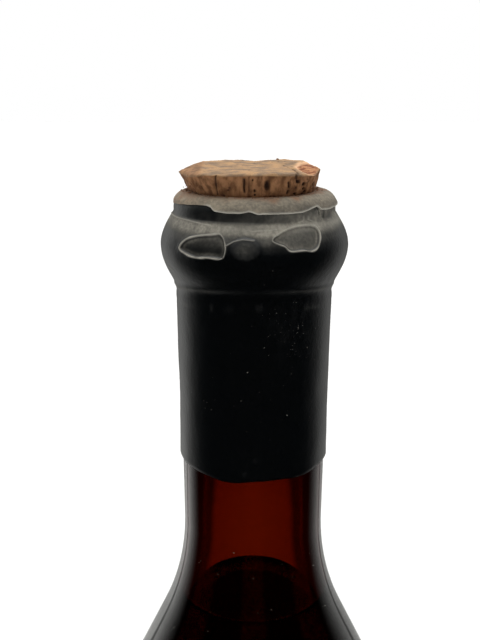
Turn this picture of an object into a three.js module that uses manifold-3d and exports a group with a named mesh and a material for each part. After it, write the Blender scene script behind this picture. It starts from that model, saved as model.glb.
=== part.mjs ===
// A corked wine bottle of dark glass, part full, with a worn black capsule over its neck.
// Millimetres, +Z up. The origin is the middle of the ring that the bottle stands on, and the front of
// the bottle faces -Y. An azimuth is in degrees from the front and grows towards +X.
import * as THREE from "three";
import { mergeVertices } from "three/addons/utils/BufferGeometryUtils.js";
import Module from "manifold-3d";

const wasm = await Module();
wasm.setup();

// Bottle: body, shoulder and neck
const BODY_RADIUS = 41;
const NECK_RADIUS = 13.53;
const FLARE_Z = 231.3;
const FLARE_RADIUS = 49.35;
const CONE_ANGLE = 25.6;
const SHOULDER_RADIUS = 150;
const WALL = 3.5;

// Bottle: base
const HEEL_RADIUS = 5;
const INNER_HEEL_RADIUS = 7;
const PUNT_RADIUS = 29;
const PUNT_HEIGHT = 22;
const BASE_THICKNESS = 6.5;

// Bottle: mouth
const BORE_RADIUS = 9.25;
const BORE_DEPTH = 45;
const MOUTH_ROUND = 1.6;

// Outside of the capsule: neck, bulge and rounded lip
const SLEEVE_FOOT_Z = 244.6;
const SKIRT_Z = 256;
const SKIRT_RADIUS = 14.06;
const CREASE_Z = 278.7;
const CREASE_RISE = 1.3;
const CREASE_RADIUS = 14.45;
const BULGE_Z = 285.9;
const BULGE_RADIUS = 17.08;
const LIP_FOOT_Z = 291.9;
const LIP_RADIUS = 14.6;
const LIP_ROUND = 2.65;
const LIP_ROUND_Z = 292.6;

// Capsule: thicknesses, and the small clearances between layers
const SLEEVE_THICKNESS = 0.28;
const CAP_THICKNESS = 0.25;
const FIT = 0.12;
const SLEEVE_END_ANGLE = 48;

// Uneven foot of the sleeve, with a short tear left of the front
const FOOT_WAVES = [
  { turns: 2, height: 0.25, phase: 0.6 },
  { turns: 5, height: 0.15, phase: 0 },
];
const FOOT_TEAR = { azimuth: -18, halfWidth: 9, drop: 0.5 };

// Torn edge of the cap, and where it is torn short
const TORN_Z = 293.25;
const TORN_WAVES = [
  { turns: 3, height: 0.1, phase: 1 },
  { turns: 7, height: 0.08, phase: 0 },
];
const TORN_SHORT = { azimuth: -49.5, halfWidth: 20.5, ends: 5, rise: 1.05 };
const NICKS = [
  { azimuth: -4, halfWidth: 4, rise: 0.4 },
  { azimuth: 46, halfWidth: 5, rise: 0.75 },
];

// Raised outlines of two blisters that burst, and one that is whole, on the bulge
const RIDGE_RADIUS = 0.24;
const LEAF_TAPER = 0.3;
const LEAF_FULLNESS = 0.6;
const BURST_BLISTERS = [
  { azimuth: -33, z: 287.6, halfWidth: 16, halfHeight: 1.75, lean: 0.4 },
  { azimuth: 26, z: 289.1, halfWidth: 16, halfHeight: 1.8, lean: 0 },
];
const WHOLE_BLISTER = { azimuth: -6, z: 287.6, halfWidth: 2.5, halfHeight: 1.8, rise: 0.5, sink: 0.15 };

// Cork: the shank in the bore, and the swollen head, which leans to the left
const CORK_CLEARANCE = 0.3;
const CORK_FOOT_Z = 250;
const CORK_FOOT_BEVEL = 0.6;
const CORK_BASE_RADIUS = 11.3;
const CORK_LEAN = 0.5;
const CORK_RIM_RADIUS = 12.5;
const CORK_TOP_Z = 300;
const CORK_TOP_SAG = 0.45;
const CORK_EDGE_ROUND = 0.25;
// Corners of the head: azimuth, radius at the rim, and how far the rim dips below the highest point
const CORK_CORNERS = [
  { azimuth: -92, radius: 13.8, dip: 1.1 },
  { azimuth: -60, radius: 13.6, dip: 1.4 },
  { azimuth: -41, radius: 13.3, dip: 0.75 },
  { azimuth: -29, radius: 13.2, dip: 0.6 },
  { azimuth: -25, radius: 12.6, dip: 0.8 },
  { azimuth: 10, radius: 12.3, dip: 0.55 },
  { azimuth: 40, radius: 12.3, dip: 0.9 },
  { azimuth: 58, radius: 12.2, dip: 1.2 },
  { azimuth: 90, radius: 11.8, dip: 0.65 },
  { azimuth: 130, radius: 12.3, dip: 0 },
  { azimuth: 150, radius: 12.4, dip: 0 },
  { azimuth: 180, radius: 12.5, dip: 0.55 },
  { azimuth: 206, radius: 12.6, dip: 0.2 },
  { azimuth: 242, radius: 13.5, dip: 0.2 },
];

// Wine: its level, and the clearance to the glass
const WINE_LEVEL = 214;
const WINE_CLEARANCE = 0.15;

// Sides of the turned solids, and steps along their curves
const SIDES = 40;
const CAP_SIDES = 72;
const CORK_SIDES = 60;
const BULGE_STEPS = 5;
const PUNT_STEPS = 5;

const { degToRad, radToDeg, lerp, smoothstep } = THREE.MathUtils;
const QUARTER_TURN = Math.PI / 2;
const DEGREES_PER_MILLIMETRE = radToDeg(1 / BULGE_RADIUS);
const COVER = SLEEVE_THICKNESS + FIT;
const GLASS_TOP_Z = LIP_ROUND_Z + LIP_ROUND - COVER;
const CAP_ROUND = LIP_ROUND + FIT + CAP_THICKNESS;
const CAP_TOP_Z = LIP_ROUND_Z + CAP_ROUND;

// The straight cone joins the flare to the shoulder, which fixes the height where the body begins
const coneTop = {
  r: NECK_RADIUS + FLARE_RADIUS * (1 - Math.cos(degToRad(CONE_ANGLE))),
  z: FLARE_Z - FLARE_RADIUS * Math.sin(degToRad(CONE_ANGLE)),
};
const coneFootRadius = BODY_RADIUS - SHOULDER_RADIUS * (1 - Math.cos(degToRad(CONE_ANGLE)));
const coneFootZ = coneTop.z - (coneFootRadius - coneTop.r) / Math.tan(degToRad(CONE_ANGLE));
const BODY_TOP_Z = coneFootZ - SHOULDER_RADIUS * Math.sin(degToRad(CONE_ANGLE));

function point(r, z) {
  return new THREE.Vector2(r, z);
}

// Evenly spaced values from one number to another, both included
function span(from, to, steps) {
  return Array.from({ length: steps + 1 }, (_, i) => lerp(from, to, i / steps));
}

// An arc in the plane of an outline, with angles from +R towards +Z
function arc(r, z, radius, from, to, steps) {
  return span(from, to, steps).map((angle) =>
    point(r + radius * Math.cos(degToRad(angle)), z + radius * Math.sin(degToRad(angle))));
}

// A difference of azimuths, brought between -180 and 180
function turnBetween(a, b) {
  return ((((a - b) % 360) + 540) % 360) - 180;
}

// Turns an outline about Z. The shape rule may move each point of it by azimuth
function turned(outline, sides, shape = (azimuth, p) => p) {
  const geometry = new THREE.LatheGeometry(outline, sides);
  const position = geometry.getAttribute("position");
  for (let i = 0; i <= sides; i++) {
    const azimuth = ((i % sides) * 360) / sides;
    const angle = degToRad(azimuth);
    outline.forEach((corner, j) => {
      const p = shape(azimuth, corner);
      const x = p.x * Math.sin(angle);
      const y = -p.x * Math.cos(angle);
      position.setXYZ(i * outline.length + j, x, y, p.y);
    });
  }
  return welded(geometry);
}

// Keeps only the shared positions of a geometry, so that it is one closed surface
function welded(geometry) {
  geometry.deleteAttribute("normal");
  geometry.deleteAttribute("uv");
  return mergeVertices(geometry, 1e-4);
}

function solid(geometry) {
  return new wasm.Manifold(new wasm.Mesh({
    numProp: 3,
    vertProperties: geometry.getAttribute("position").array,
    triVerts: new Uint32Array(geometry.index.array),
  }));
}

// Joins closed geometries into one
function joined(geometries) {
  const mesh = geometries.map(solid).reduce((whole, next) => whole.add(next)).getMesh();
  const geometry = new THREE.BufferGeometry();
  geometry.setAttribute("position", new THREE.BufferAttribute(mesh.vertProperties, 3));
  geometry.setIndex(new THREE.BufferAttribute(mesh.triVerts, 1));
  return geometry;
}

// Shoulder, from the top of the body to the straight cone, set in from the outside by a distance
function shoulderLine(inset) {
  return arc(BODY_RADIUS - SHOULDER_RADIUS, BODY_TOP_Z, SHOULDER_RADIUS - inset, 0, CONE_ANGLE, 5);
}

// Flare, from the top of the cone to the neck, set in from the outside by a distance
function flareLine(inset) {
  return arc(NECK_RADIUS + FLARE_RADIUS, FLARE_Z, FLARE_RADIUS + inset, 180 + CONE_ANGLE, 180, 4);
}

// Rise of the punt at a radius, as a bell that is level in the middle and at its foot
function puntRise(r, footRadius) {
  return (PUNT_HEIGHT * (1 + Math.cos((Math.PI * r) / footRadius))) / 2;
}

// Outside of the capsule from its foot to the foot of the lip, set in by a distance
function capsuleLine(inset, creaseZ) {
  const neck = [
    point(SKIRT_RADIUS, SLEEVE_FOOT_Z),
    point(SKIRT_RADIUS, SKIRT_Z),
    point(CREASE_RADIUS, creaseZ),
  ];
  const lower = span(1, 0, BULGE_STEPS).slice(1).map((t) => point(
    lerp(CREASE_RADIUS, BULGE_RADIUS, Math.cos(QUARTER_TURN * t)), lerp(BULGE_Z, creaseZ, t)));
  const upper = span(0, 1, BULGE_STEPS).slice(1).map((t) => point(
    lerp(LIP_RADIUS, BULGE_RADIUS, Math.cos(QUARTER_TURN * t)), lerp(BULGE_Z, LIP_FOOT_Z, t)));
  return [...neck, ...lower, ...upper].map((p) => point(p.x - inset, p.y));
}

// Rounded top of the lip up to an angle, set in by a distance
function lipLine(inset, toAngle, steps) {
  return arc(LIP_RADIUS - LIP_ROUND, LIP_ROUND_Z, LIP_ROUND - inset, 0, toAngle, steps);
}

// Inside of the body from the shoulder down to the axis, clear of the glass by a distance
function insideLine(clearance) {
  const r = BODY_RADIUS - WALL - clearance;
  const floorZ = BASE_THICKNESS + clearance;
  const heelRadius = r - INNER_HEEL_RADIUS;
  const punt = span(heelRadius, 0, PUNT_STEPS).slice(1).map((x) =>
    point(x, floorZ + puntRise(x, heelRadius)));
  return [
    ...shoulderLine(WALL + clearance).reverse(),
    ...arc(heelRadius, floorZ + INNER_HEEL_RADIUS, INNER_HEEL_RADIUS, 0, -90, 3),
    ...punt,
  ];
}

// The bottle is one piece of glass. It is given as two solids that meet at the foot of the flare, each
// with a simple outside
function glassBody() {
  const underside = span(0, PUNT_RADIUS, PUNT_STEPS).map((r) => point(r, puntRise(r, PUNT_RADIUS)));
  const outline = [
    ...underside,
    ...arc(BODY_RADIUS - HEEL_RADIUS, HEEL_RADIUS, HEEL_RADIUS, -90, 0, 3),
    ...shoulderLine(0),
    flareLine(0)[0],
    flareLine(WALL)[0],
    ...insideLine(0),
  ];
  return turned(outline, SIDES);
}

function glassNeck() {
  const mouthRadius = BORE_RADIUS + MOUTH_ROUND;
  const outline = [
    ...flareLine(0),
    ...capsuleLine(COVER, CREASE_Z + CREASE_RISE),
    ...lipLine(COVER, 90, 3),
    ...arc(mouthRadius, GLASS_TOP_Z - MOUTH_ROUND, MOUTH_ROUND, 90, 180, 2),
    point(BORE_RADIUS, GLASS_TOP_Z - BORE_DEPTH),
    ...flareLine(WALL).reverse(),
    flareLine(0)[0],
  ];
  return turned(outline, SIDES);
}

// Wine up to its level, which lies in the flare above the shoulder
function wine() {
  const below = [...flareLine(WALL + WINE_CLEARANCE).reverse(), ...insideLine(WINE_CLEARANCE)]
    .filter((p) => p.y < WINE_LEVEL);
  const reach = FLARE_RADIUS + WALL + WINE_CLEARANCE;
  const surfaceRadius = NECK_RADIUS + FLARE_RADIUS - Math.sqrt(reach ** 2 - (FLARE_Z - WINE_LEVEL) ** 2);
  const outline = [point(0, WINE_LEVEL), point(surfaceRadius, WINE_LEVEL), ...below];
  return turned(outline.reverse(), SIDES);
}

// Sum of a few waves round the axis
function waviness(waves, azimuth) {
  const heights = waves.map(({ turns, height, phase }) =>
    height * Math.sin(turns * degToRad(azimuth) + phase));
  return heights.reduce((sum, height) => sum + height);
}

// Height of the sleeve's foot above its mean
function footRise(azimuth) {
  const aside = Math.abs(turnBetween(azimuth, FOOT_TEAR.azimuth));
  const tear = FOOT_TEAR.drop * (1 - smoothstep(aside, 0, FOOT_TEAR.halfWidth));
  return waviness(FOOT_WAVES, azimuth) - tear;
}

// Point of the bulge's outside at an azimuth and a height, moved out by a distance
function onBulge(azimuth, z, out) {
  const far = z > BULGE_Z ? LIP_FOOT_Z : CREASE_Z;
  const farRadius = z > BULGE_Z ? LIP_RADIUS : CREASE_RADIUS;
  const t = (z - BULGE_Z) / (far - BULGE_Z);
  const r = lerp(farRadius, BULGE_RADIUS, Math.cos(QUARTER_TURN * t)) + out;
  return new THREE.Vector3(r * Math.sin(degToRad(azimuth)), -r * Math.cos(degToRad(azimuth)), z);
}

// Lays a closed geometry on the bulge: the place rule turns each point into an azimuth, a height and
// a distance out
function laidOnBulge(geometry, place) {
  const position = geometry.getAttribute("position");
  for (let i = 0; i < position.count; i++) {
    const { azimuth, z, out } = place(position.getX(i), position.getY(i), position.getZ(i));
    const p = onBulge(azimuth, z, out);
    position.setXYZ(i, p.x, p.y, p.z);
  }
  return welded(geometry);
}

// Curled rim of a burst blister: a thin round bead along a leaf-shaped loop
function burstBlister(blister) {
  return laidOnBulge(new THREE.TorusGeometry(1, RIDGE_RADIUS, 6, 32), (x, y, z) => {
    const ring = Math.hypot(x, y);
    const across = x / ring;
    const up = Math.sign(y) * Math.abs(y / ring) ** LEAF_FULLNESS;
    const spread = ring - 1;
    const half = blister.halfHeight * (1 + LEAF_TAPER * across) + spread;
    return {
      azimuth: blister.azimuth + across * (blister.halfWidth + spread * DEGREES_PER_MILLIMETRE),
      z: blister.z + up * half + blister.lean * across,
      out: z - RIDGE_RADIUS / 3,
    };
  });
}

// Blister that is whole: a low dome, sunk a little into the sleeve
function wholeBlister(blister) {
  return laidOnBulge(new THREE.SphereGeometry(1, 16, 10), (x, y, z) => ({
    azimuth: blister.azimuth + x * blister.halfWidth * DEGREES_PER_MILLIMETRE,
    z: blister.z + y * blister.halfHeight,
    out: Math.max(z * blister.rise, -blister.sink),
  }));
}

// Sleeve of the capsule, from its uneven foot over the bulge to the lip, with the blisters on it
function capsuleSleeve() {
  const outside = [...capsuleLine(0, CREASE_Z), ...lipLine(0, SLEEVE_END_ANGLE, 2)];
  const inside = [
    ...capsuleLine(SLEEVE_THICKNESS, CREASE_Z),
    ...lipLine(SLEEVE_THICKNESS, SLEEVE_END_ANGLE, 2),
  ];
  const outline = [...outside, ...inside.reverse(), outside[0]];
  // The crease under the bulge is higher at the front and the back, where the skin lies closer
  const sleeve = turned(outline, SIDES, (azimuth, p) => {
    const closeness = Math.cos(degToRad(azimuth)) ** 2;
    if (p.y <= SLEEVE_FOOT_Z) {
      return point(p.x, p.y + footRise(azimuth));
    }
    if (p.y < CREASE_Z || p.y > BULGE_Z) {
      return p;
    }
    return point(p.x, p.y + CREASE_RISE * closeness * (BULGE_Z - p.y) / (BULGE_Z - CREASE_Z));
  });
  return joined([sleeve, ...BURST_BLISTERS.map(burstBlister), wholeBlister(WHOLE_BLISTER)]);
}

// Height of the cap's torn edge
function tornEdge(azimuth) {
  const aside = Math.abs(turnBetween(azimuth, TORN_SHORT.azimuth));
  const inner = TORN_SHORT.halfWidth - TORN_SHORT.ends;
  const outer = TORN_SHORT.halfWidth + TORN_SHORT.ends;
  const short = TORN_SHORT.rise * (1 - smoothstep(aside, inner, outer));
  const nicks = NICKS.map(({ azimuth: at, halfWidth, rise }) =>
    rise * Math.max(0, 1 - Math.abs(turnBetween(azimuth, at)) / halfWidth));
  return TORN_Z + waviness(TORN_WAVES, azimuth) + short + Math.max(...nicks);
}

// Radius of the cork's head at its base
function corkBase(azimuth) {
  return CORK_BASE_RADIUS - CORK_LEAN * Math.sin(degToRad(azimuth));
}

// Cap of the capsule: the torn top that lies over the rounded lip, open round the cork
function capsuleCap() {
  const centreRadius = LIP_RADIUS - LIP_ROUND;
  const outside = lipLine(-FIT - CAP_THICKNESS, 90, 4);
  const inside = lipLine(-FIT, 70, 3);
  const outline = [
    ...outside,
    point(CORK_BASE_RADIUS, CAP_TOP_Z),
    point(CORK_BASE_RADIUS, GLASS_TOP_Z + FIT),
    ...inside.reverse(),
    outside[0],
  ];
  return turned(outline, CAP_SIDES, (azimuth, p) => {
    if (p.x === CORK_BASE_RADIUS) {
      return point(corkBase(azimuth) + CORK_CLEARANCE, p.y);
    }
    // Points of the rounded part close up towards the top, so that it begins at the torn edge
    const start = Math.asin((tornEdge(azimuth) - LIP_ROUND_Z) / CAP_ROUND);
    const reach = Math.hypot(p.x - centreRadius, p.y - LIP_ROUND_Z);
    const angle = Math.atan2(p.y - LIP_ROUND_Z, p.x - centreRadius);
    const moved = lerp(start, QUARTER_TURN, angle / QUARTER_TURN);
    return point(centreRadius + reach * Math.cos(moved), LIP_ROUND_Z + reach * Math.sin(moved));
  });
}

// Corner values of the cork's head at an azimuth, along straight sides between the corners
function corkRim(azimuth) {
  const count = CORK_CORNERS.length;
  const at = CORK_CORNERS.findIndex((corner, i) => {
    const next = CORK_CORNERS[(i + 1) % count];
    const side = (next.azimuth - corner.azimuth + 360) % 360;
    return (azimuth - corner.azimuth + 720) % 360 < side;
  });
  const a = CORK_CORNERS[at];
  const b = CORK_CORNERS[(at + 1) % count];
  const side = degToRad((b.azimuth - a.azimuth + 360) % 360);
  const turn = degToRad((azimuth - a.azimuth + 720) % 360);
  const radius = (a.radius * b.radius * Math.sin(side))
    / (a.radius * Math.sin(turn) + b.radius * Math.sin(side - turn));
  return { radius, dip: lerp(a.dip, b.dip, turn / side) };
}

// Cork: round in the bore, flaring through the cap to a head with flat sides and an uneven top
function cork() {
  const shankRadius = BORE_RADIUS - CORK_CLEARANCE;
  const throat = arc(
    BORE_RADIUS + MOUTH_ROUND, GLASS_TOP_Z - MOUTH_ROUND, MOUTH_ROUND + CORK_CLEARANCE, 180, 110, 3);
  const outline = [
    point(0, CORK_FOOT_Z),
    point(shankRadius - CORK_FOOT_BEVEL, CORK_FOOT_Z),
    point(shankRadius, CORK_FOOT_Z + CORK_FOOT_BEVEL),
    ...throat,
    point(CORK_BASE_RADIUS, CAP_TOP_Z),
    point(CORK_RIM_RADIUS, CORK_TOP_Z - CORK_EDGE_ROUND),
    point(CORK_RIM_RADIUS - CORK_EDGE_ROUND, CORK_TOP_Z),
    point(CORK_RIM_RADIUS / 2, CORK_TOP_Z - CORK_TOP_SAG),
    point(0, CORK_TOP_Z - CORK_TOP_SAG),
  ];
  return turned(outline, CORK_SIDES, (azimuth, p) => {
    if (p.y < CAP_TOP_Z) {
      return p;
    }
    if (p.y === CAP_TOP_Z) {
      return point(corkBase(azimuth), p.y);
    }
    const rim = corkRim(azimuth);
    const share = p.x / CORK_RIM_RADIUS;
    return point(rim.radius * share, p.y - rim.dip * share ** 3);
  });
}

function part(name, geometry, finish) {
  const mesh = new THREE.Mesh(geometry, new THREE.MeshStandardMaterial(finish));
  mesh.name = name;
  return mesh;
}

const bottle = new THREE.Group();
bottle.add(
  part("glass_body", glassBody(), { color: 0x3a0d05, roughness: 0.05, metalness: 0 }),
  part("glass_neck", glassNeck(), { color: 0x3a0d05, roughness: 0.05, metalness: 0 }),
  part("wine", wine(), { color: 0x1c0206, roughness: 0.05, metalness: 0 }),
  part("capsule_sleeve", capsuleSleeve(), { color: 0x161618, roughness: 0.4, metalness: 0 }),
  part("capsule_cap", capsuleCap(), { color: 0x6a6459, roughness: 0.8, metalness: 0 }),
  part("cork", cork(), { color: 0x8a6647, roughness: 0.9, metalness: 0 }),
);

export default bottle;
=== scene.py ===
# A corked wine bottle of dark amber glass with a worn black capsule, dressed for looks.
# Lengths are in millimetres and become metres when a mesh is made. +Z is up and the front faces -Y.
# An azimuth is in degrees from the front and grows towards +X.
import math

import bpy
import numpy as np
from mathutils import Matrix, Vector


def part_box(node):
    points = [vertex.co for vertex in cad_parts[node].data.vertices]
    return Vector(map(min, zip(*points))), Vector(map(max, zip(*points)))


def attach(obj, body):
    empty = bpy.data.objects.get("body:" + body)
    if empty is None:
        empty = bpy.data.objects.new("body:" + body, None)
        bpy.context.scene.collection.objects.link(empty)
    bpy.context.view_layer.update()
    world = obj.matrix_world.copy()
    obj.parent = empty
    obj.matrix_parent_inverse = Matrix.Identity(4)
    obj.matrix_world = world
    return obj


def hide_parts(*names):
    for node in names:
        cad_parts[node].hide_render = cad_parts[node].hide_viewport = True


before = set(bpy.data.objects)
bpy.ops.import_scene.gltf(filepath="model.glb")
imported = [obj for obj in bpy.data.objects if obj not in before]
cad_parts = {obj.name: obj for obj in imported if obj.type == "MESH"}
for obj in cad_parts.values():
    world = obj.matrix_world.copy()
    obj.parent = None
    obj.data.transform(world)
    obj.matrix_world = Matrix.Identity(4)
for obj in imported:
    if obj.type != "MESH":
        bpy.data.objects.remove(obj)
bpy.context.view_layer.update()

MM = 0.001
SEED = 11


def box_mm(node):
    low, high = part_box(node)
    return [v / MM for v in low], [v / MM for v in high]


# Sizes that the frame gives
BODY_RADIUS = box_mm("glass_body")[1][0]
GLASS_TOP_Z = box_mm("glass_neck")[1][2]
WINE_LEVEL = box_mm("wine")[1][2]
CAP_TOP_Z = box_mm("capsule_cap")[1][2]
CORK_FOOT_Z = box_mm("cork")[0][2]
CORK_TOP_Z = box_mm("cork")[1][2]
BULGE_RADIUS = box_mm("capsule_sleeve")[1][0]

# Bottle
NECK_RADIUS = 13.53
FLARE_Z = 231.3
FLARE_RADIUS = 49.35
CONE_ANGLE = 25.6
SHOULDER_RADIUS = 150
SHOULDER_STEPS = 24
FLARE_STEPS = 18
WALL = 3.5
HEEL_RADIUS = 5
INNER_HEEL_RADIUS = 7
PUNT_RADIUS = 29
PUNT_HEIGHT = 22
BASE_THICKNESS = 6.5
BORE_RADIUS = 9.25
BORE_DEPTH = 45
MOUTH_ROUND = 1.6
GLASS_WAVE = 0.05
# Light that is left of each colour, and how fast the rest is lost on the way
GLASS_TINT = (0.76, 0.5, 0.0)
GLASS_DENSITY = 1500

# Wine: how far it reaches into the wall, and how it climbs the glass
WINE_OVERLAP = 0.3
MENISCUS_RISE = 1.3
MENISCUS_WIDTH = 1.1
WINE_TINT = (0.8, 0.04, 0.02)
WINE_DENSITY = 2600

# Points round the axis
GLASS_ROUND = 160
WINE_ROUND = 128
SLEEVE_ROUND = 480
CAP_EDGE_ROUND = 640
CORK_ROUND = 440

# Capsule. FIT is its clearance to what it lies on
SLEEVE_FOOT_Z = 244.6
SKIRT_Z = 256
SKIRT_RADIUS = 14.06
SKIRT_STAND = 0.3
CREASE_Z = 278.7
CREASE_RISE = 1.3
CREASE_RADIUS = 14.45
BULGE_Z = 285.9
LIP_FOOT_Z = 291.9
LIP_RADIUS = 14.6
LIP_ROUND = 2.65
LIP_ROUND_Z = 292.6
SLEEVE_THICKNESS = 0.28
CAP_THICKNESS = 0.25
FIT = 0.12
SLEEVE_END_ANGLE = 48
COVER = SLEEVE_THICKNESS + FIT
CAP_ROUND = LIP_ROUND + FIT + CAP_THICKNESS
# Points along the rounding of the cap
CAP_ROWS = 34
# How far up the sleeve its uneven foot and its standing skirt are felt
FOOT_REACH = 6
SKIRT_REACH = 9

# Places of dust on the sleeve: its lightest band, a ring of specks below the crease, and a smear
DUST_Z = 290.8
SPECK_RING_DROP = 2.9
SMEAR_Z = 248
# Patches of haze: azimuth, half width, height, half height and strength
HAZE = [(30, 16, 273, 6, 1), (-48, 10, 274, 5, 0.6)]
# Heights over which the skin under the cap begins, and where it is bare of dust
UNDER_CAP_BAND = (291.0, 291.9)
BARE_BAND = (291.2, 292.0)

# Uneven edges by azimuth and height: the foot of the sleeve, and the torn edge of the cap
FOOT_EDGE = [(-120, 245.0), (-60, 244.9), (-30, 244.5), (-18, 243.9), (-12, 244.4), (0, 244.7),
             (26, 244.8), (36, 244.2), (42, 244.6), (60, 245.1), (110, 244.5), (150, 244.9), (180, 244.7)]
TORN_EDGE = [(-140, 293.5), (-105, 293.2), (-80, 293.6), (-60, 294.0), (-43, 294.35), (-35, 294.4),
             (-31, 294.15), (-28, 293.5), (-17, 293.35), (-10, 293.35), (-4, 293.7), (2, 293.25),
             (22, 293.2), (32, 293.25), (40, 293.7), (46.5, 294.05), (49, 293.3), (60, 293.15),
             (100, 293.4), (140, 293.1), (180, 293.3)]
# Degrees to each side over which the corners of these edges are rounded
FOOT_ROUNDING = 9
TORN_ROUNDING = 1

# Burst blisters on the bulge, as corners of their curled rims by azimuth and height
LEFT_BLISTER = [(-49, 287.0), (-45, 288.5), (-37, 289.3), (-27, 289.75), (-22.5, 289.95), (-19.5, 289.4),
                (-17.5, 288.2), (-17.5, 287.0), (-19.5, 286.1), (-28, 286.1), (-36, 285.9), (-44, 286.3)]
RIGHT_BLISTER = [(9.8, 289.0), (10.8, 289.6), (15, 290.2), (21, 290.8), (28, 291.1), (37, 291.0),
                 (41.5, 290.5), (42, 289.3), (38.5, 287.6), (34, 287.0), (28, 287.25), (20, 287.3),
                 (16.5, 288.1), (13, 288.5)]
WHOLE_BLISTER = {"azimuth": -6, "z": 287.6, "half_width": 2.5, "half_height": 1.8, "rise": 0.5}
# Thin raised lines on the capsule: folds, scratches and the crease over the whole blister
FOLDS = [
    [(-92, 291.3), (-75, 291.45), (-50, 291.45), (-30, 291.15)],
    [(-17.5, 288.1), (-13, 288.9), (-7.5, 289.25), (-1, 289.1)],
    [(-2, 290.5), (4, 290.6), (13, 290.75)],
    [(28.5, 291.6), (32, 291.75), (34.5, 292.05), (37, 291.95), (40, 291.6)],
    [(-76, 283.6), (-70, 282.8), (-62, 282.3)],
]
# Dark cracks below the torn edge, right of the front
CRACKS = [
    [(46.5, 293.9), (48.5, 292.7), (53, 292.0)],
    [(48.5, 292.7), (43, 292.2)],
]

# The largest specks on the capsule's neck: azimuth, height and size
NECK_SPECKS = [(6.2, 270.1, 0.14), (9.4, 268.7, 0.1), (-5.2, 265.6, 0.17), (24.2, 257.1, 0.15),
               (31.5, 273.2, 0.13)]
# Strewn specks: numbers of them in a loose cluster, on the rest of the neck and on the glass
CLUSTER_COUNT = 60
STREWN_COUNT = 160
GLASS_SPECK_COUNT = 130
CLUSTER_AZIMUTH = 24
CLUSTER_Z = 273

# Cork: corners of the head by azimuth, radius at the rim, and dip of the rim below the highest point
CORK_CLEARANCE = 0.3
CORK_BEVEL = 0.6
CORK_BASE_RADIUS = 11.3
CORK_LEAN = 0.5
CORK_SAG = 0.45
CORK_EDGE = 0.045
CORK_CORNERS = [
    (-92, 13.8, 1.1), (-60, 13.6, 1.4), (-41, 13.3, 0.75), (-30, 13.2, 0.6), (-27.5, 12.75, 0.75),
    (10, 12.3, 0.55), (40, 12.3, 0.9), (58, 12.2, 1.2), (90, 11.8, 0.65), (130, 12.3, 0), (150, 12.4, 0),
    (180, 12.5, 0.55), (206, 12.6, 0.2), (242, 13.5, 0.2),
]
LEFT_FACET_X = -8.9
LEFT_FACET_SLOPE = 0.24
# Slits in the side: azimuth and share of the height at both ends, width and depth
CORK_SLITS = [
    (-30.5, 1.0, -34.0, 0.1, 0.16, 0.4), (-10, 0.85, -9.5, 0.25, 0.16, 0.45),
    (-5.5, 0.95, -5.5, 0.3, 0.1, 0.2), (5, 1.0, 5.5, 0.1, 0.08, 0.12),
    (29, 0.7, 29.3, 0.42, 0.2, 0.5), (29.5, 0.33, 29.5, 0.15, 0.18, 0.5),
    (35, 1.0, 36.5, 0.7, 0.2, 0.5), (-62, 0.9, -64, 0.2, 0.1, 0.25), (-48, 0.5, -47, 0.1, 0.1, 0.3),
]
# Pits in the side: azimuth, share of the height, half width, half height and depth
CORK_PITS = [
    (9.7, 0.53, 0.4, 0.75, 0.7), (38, 0.7, 0.3, 0.3, 0.4), (46, 0.58, 0.35, 0.3, 0.45),
    (47, 0.35, 0.3, 0.25, 0.4), (50.5, 0.2, 0.35, 0.25, 0.45), (37.5, 0.15, 0.3, 0.2, 0.4),
]
EXTRA_PITS = 45
SLIT_FADE = 0.06
# The crack across the top, by x and y
TOP_CRACK = [(5.3, 3.6), (6.7, -4.4), (7.3, -10.2)]
FRESH_BREAK = {"x": 9.5, "y": -0.8, "half_x": 2.3, "half_y": 6.6, "depth": 0.25}
# Crumbs round the cork, and one larger crumb at the back of its rim
CRUMB_COUNT = 260
BACK_CRUMB = {"radius": 11.6, "azimuth": 157.0, "drop": 0.05, "size": 0.4}

# Half the side of the floor, in metres
FLOOR_HALF = 6.0

# Light from behind, light from straight above, and the share of the light from behind left on the right
WORLD_BACK = 1.15
WORLD_TOP = 1.6
RIGHT_SHARE = 0.6
# Light through the glass: its strips, what is left between them, and the share left higher up
THROUGH_STRIPS = 4.0
SIDE_GLOW = 0.18
UPPER_SHARE = 0.1
# Light that surfaces mirror: a ring round the straight back, the place of a thin dim line in it, and the
# share left straight behind, which the outlines mirror
MIRROR_RING = 1.15
MIRROR_LINE = 0.7
OUTLINE_SHARE = 0.14
# Sun as a wide sky: strength, and its spread and tilt in degrees
SKY_LIGHT = 1.6
SKY_SPREAD = 70
SKY_TILT = -20

# Camera
CAMERA_PLACE = (-2.6, -159.0, 315.5)
CAMERA_PITCH = 15.6
CAMERA_LENS = 49.5
SENSOR_WIDTH = 36

LATTICE = np.random.default_rng(SEED).uniform(-1, 1, (32, 32, 32))


def ease(t):
    t = np.clip(t, 0, 1)
    return t * t * (3 - 2 * t)


def step(value, low, high):
    return ease((value - low) / (high - low))


# Smooth noise from -1 to 1, with lumps of about one size
def noise(points, size, shift=0.0):
    place = points / size + shift
    cell = np.floor(place).astype(int)
    share = ease(place - cell)
    total = np.zeros(points.shape[:-1])
    for corner in np.ndindex(2, 2, 2):
        index = (cell + corner) % len(LATTICE)
        weight = np.prod(np.where(corner, share, 1 - share), axis=-1)
        total += weight * LATTICE[index[..., 0], index[..., 1], index[..., 2]]
    return total


def rough_noise(points, size, layers=3):
    return sum(noise(points, size / 2 ** k, 4.7 * k) / 2 ** k for k in range(layers))


def arc(r, z, radius, start, end, steps):
    angle = np.radians(np.linspace(start, end, steps + 1))
    return np.stack([r + radius * np.cos(angle), z + radius * np.sin(angle)], axis=1)


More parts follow.
